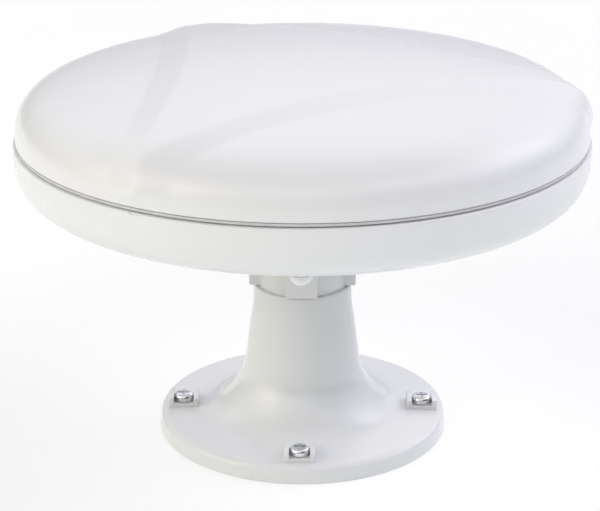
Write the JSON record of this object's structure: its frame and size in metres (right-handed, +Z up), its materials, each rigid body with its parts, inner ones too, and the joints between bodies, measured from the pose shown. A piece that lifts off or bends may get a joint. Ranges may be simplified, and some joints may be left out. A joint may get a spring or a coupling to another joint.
{
  "type": "gnss receiver",
  "caption": "Shallow round dome for satellite positioning with a pointed raised crown and sealed rim, on a flared hollow pedestal with a lugged locking ring and a bolt-down foot.",
  "frame": {"origin": "middle of the pedestal foot's flat underside", "axes": "+Z up along the pedestal and dome axis, -Y towards the front of the unit, +X to the right seen from the front"},
  "size_m": [0.3415, 0.3412, 0.2342],
  "materials": {
    "white_shell": "smooth satin-gloss white moulding",
    "grey_casting": "light grey moulding with a fine grain and a soft sheen",
    "grey_rubber": "light grey moulded seal",
    "black_rubber": "black moulded seal",
    "bright_steel": "polished stainless fastener",
    "clear_plastic": "milky translucent plastic",
    "white_membrane": "white porous membrane",
    "pale_nylon": "natural nylon",
    "sheet_alloy": "rolled sheet, satin",
    "board_green": "green solder mask",
    "ceramic_buff": "buff dielectric ceramic",
    "silver_film": "fired silver film",
    "black_jacket": "black cable jacket",
    "black_plastic": "black moulded plastic",
    "brass_plain": "turned brass"
  },
  "bodies": {
    "pedestal": {"pedestal": "grey_casting", "spigot_seal": "black_rubber", "base_screw_1": "bright_steel", "base_screw_2": "bright_steel", "base_screw_3": "bright_steel", "base_screw_4": "bright_steel"},
    "head": {"antenna_board_1": "board_green", "antenna_board_2": "board_green", "antenna_board_3": "board_green", "board_connector": "pale_nylon", "board_standoff_1": "brass_plain", "board_standoff_2": "brass_plain", "board_standoff_3": "brass_plain", "board_standoff_4": "brass_plain", "bulkhead_connector": "black_plastic", "coax_lead_1": "black_jacket", "coax_lead_2": "black_jacket", "coax_lead_3": "black_jacket", "connector_nut": "brass_plain", "connector_seal": "black_rubber", "ground_plane": "sheet_alloy", "housing_screw_1": "bright_steel", "housing_screw_2": "bright_steel", "housing_screw_3": "bright_steel", "housing_screw_4": "bright_steel", "housing_screw_5": "bright_steel", "housing_screw_6": "bright_steel", "imu_module": "black_plastic", "lower_housing": "white_shell", "main_board": "board_green", "memory_chip": "black_plastic", "patch_antenna_1": "ceramic_buff", "patch_antenna_2": "ceramic_buff", "patch_antenna_3": "ceramic_buff", "patch_electrode_1": "silver_film", "patch_electrode_2": "silver_film", "patch_electrode_3": "silver_film", "plane_screw_1": "bright_steel", "plane_screw_2": "bright_steel", "plane_screw_3": "bright_steel", "power_inductor": "black_plastic", "processor_chip": "black_plastic", "rf_shield_can": "sheet_alloy", "rim_gasket": "grey_rubber", "upper_radome": "white_shell", "vent_cap": "clear_plastic", "vent_membrane": "white_membrane", "vent_seal": "black_rubber", "wire_harness": "black_jacket"},
    "washer": {"slip_washer": "pale_nylon"},
    "ring": {"locking_ring": "grey_casting"}
  },
  "joints": [
    {"name": "head_swivel", "type": "hinge", "parent": "pedestal", "child": "head", "pos_m": [0, 0, 0.1076], "axis": [0, 0, 1], "range_deg": [-180, 180]},
    {"name": "washer_slide", "type": "slide", "parent": "pedestal", "child": "washer", "axis": [0, 0, 1], "range_m": [0, 0.003]},
    {"name": "ring_turn", "type": "hinge", "parent": "washer", "child": "ring", "pos_m": [0, 0, 0.105], "axis": [0, 0, 1], "range_deg": [0, 722]}
  ],
  "couplings": [
    {"joint": "ring_turn", "follows": "washer_slide", "rad_per_m": 4188.8}
  ]
}
